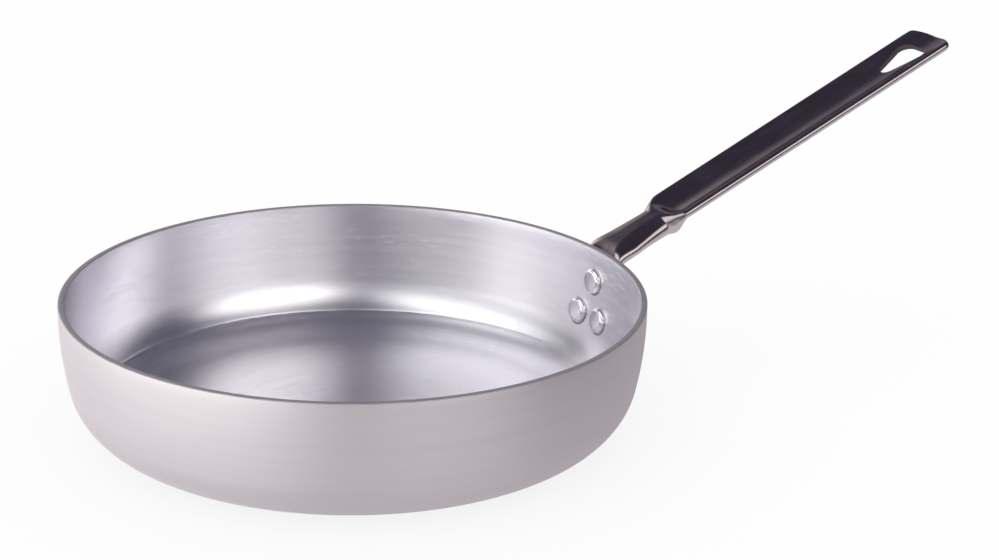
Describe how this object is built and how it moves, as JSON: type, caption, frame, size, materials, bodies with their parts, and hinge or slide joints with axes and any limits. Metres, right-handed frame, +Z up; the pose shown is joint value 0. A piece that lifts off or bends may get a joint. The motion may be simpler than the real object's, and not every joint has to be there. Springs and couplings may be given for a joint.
{
  "type": "omelette pan",
  "caption": "Round open pan of plain aluminium with a flat base, high curved sides and a riveted, upward-tilted steel tube handle with a hanging hole.",
  "frame": {"origin": "centre of the flat base's underside", "axes": "+X from the pan's centre along the handle, +Z up, +Y to the left of someone who looks along +X"},
  "size_m": [0.4905, 0.28, 0.1511],
  "materials": {
    "pan": "bare spun aluminium, polished satin inside and finely turned outside",
    "handle": "smooth polished steel that mirrors dark surroundings",
    "rivets": "bare pressed aluminium, bright on the rounded edge"
  },
  "bodies": {
    "root": {"pan_body": "pan", "handle": "handle", "rivet_top": "rivets", "rivet_lower_left": "rivets", "rivet_lower_right": "rivets"}
  },
  "joints": []
}
